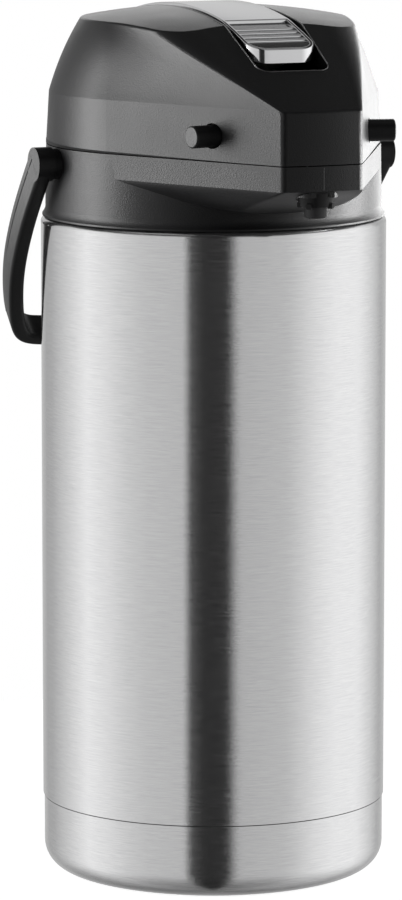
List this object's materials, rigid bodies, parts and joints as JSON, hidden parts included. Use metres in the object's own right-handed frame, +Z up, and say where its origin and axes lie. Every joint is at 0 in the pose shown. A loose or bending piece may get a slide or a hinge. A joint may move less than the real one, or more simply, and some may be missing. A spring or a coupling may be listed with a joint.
{
  "type": "thermal carafe",
  "caption": "Tall vacuum-insulated steel pump carafe with a hinged black lever lid, a beak spout, side release buttons and a bail handle.",
  "frame": {"origin": "centre of the foot, on the surface that the carafe stands on", "axes": "+Z up along the body, -Y towards the spout, +X to the right of someone who faces the spout"},
  "size_m": [0.1896, 0.2293, 0.419],
  "materials": {
    "brushed_steel": "stainless sheet with fine lines brushed round the body",
    "plain_steel": "bright drawn stainless, unbrushed",
    "lever_metal": "satin silver with a polished rim",
    "black_plastic": "fine matt grain",
    "grained_plastic": "coarser matt grain",
    "black_inner": "plain moulded black",
    "pale_plastic": "natural polypropylene",
    "rubber": "black rubber",
    "silicone": "milky silicone",
    "spring_steel": "bright spring wire"
  },
  "bodies": {
    "pot": {"base_foot_ring": "rubber", "base_cup": "brushed_steel", "base_support": "black_inner", "flask_cushion": "rubber", "outer_shell": "brushed_steel", "flask_outer_wall": "plain_steel", "flask_liner": "plain_steel", "neck_gasket": "silicone", "collar": "grained_plastic", "stem_head": "pale_plastic", "stem_gasket": "silicone", "dip_tube": "pale_plastic", "spout_pipe": "pale_plastic", "nozzle_ring": "black_plastic", "nozzle_tip": "black_inner", "lid_hinge_pin": "spring_steel", "bail_pins": "spring_steel"},
    "bail": {"bail_handle": "black_plastic"},
    "lid": {"lid_shell": "black_plastic", "lid_pan": "black_inner", "lid_seal": "silicone", "outlet_valve": "silicone", "lid_screws": "spring_steel", "lever_pin": "spring_steel", "bellows": "silicone", "bellows_spring": "spring_steel"},
    "lever": {"lever": "lever_metal", "lever_grip": "lever_metal", "lever_carrier": "black_inner"},
    "plunger": {"pusher": "pale_plastic", "intake_valve": "silicone"},
    "button_left": {"release_button_left": "black_plastic", "latch_hook_left": "black_inner", "button_spring_left": "spring_steel"},
    "button_right": {"release_button_right": "black_plastic", "latch_hook_right": "black_inner", "button_spring_right": "spring_steel"}
  },
  "joints": [
    {"name": "bail_hinge", "type": "hinge", "parent": "pot", "child": "bail", "pos_m": [0, 0, 0.345], "axis": [1, 0, 0], "range_deg": [0, 195]},
    {"name": "lid_hinge", "type": "hinge", "parent": "pot", "child": "lid", "pos_m": [0, 0.085, 0.353], "axis": [-1, 0, 0], "range_deg": [0, 100]},
    {"name": "lever_hinge", "type": "hinge", "parent": "lid", "child": "lever", "pos_m": [0, 0.05, 0.404], "axis": [1, 0, 0], "range_deg": [0, 12], "stiffness_Nm_per_rad": 2, "springref_deg": -8.59},
    {"name": "plunger_slide", "type": "slide", "parent": "lid", "child": "plunger", "axis": [0, 0, -1], "range_m": [0, 0.0109], "deforming": ["bellows", "bellows_spring"]},
    {"name": "button_left_slide", "type": "slide", "parent": "lid", "child": "button_left", "axis": [0.9703, 0.2419, 0], "range_m": [0, 0.004], "stiffness_N_per_m": 400, "springref_m": -0.003},
    {"name": "button_right_slide", "type": "slide", "parent": "lid", "child": "button_right", "axis": [-0.9703, 0.2419, 0], "range_m": [0, 0.004], "stiffness_N_per_m": 400, "springref_m": -0.003}
  ],
  "couplings": [
    {"joint": "plunger_slide", "follows": "lever_hinge", "m_per_rad": 0.0518}
  ]
}
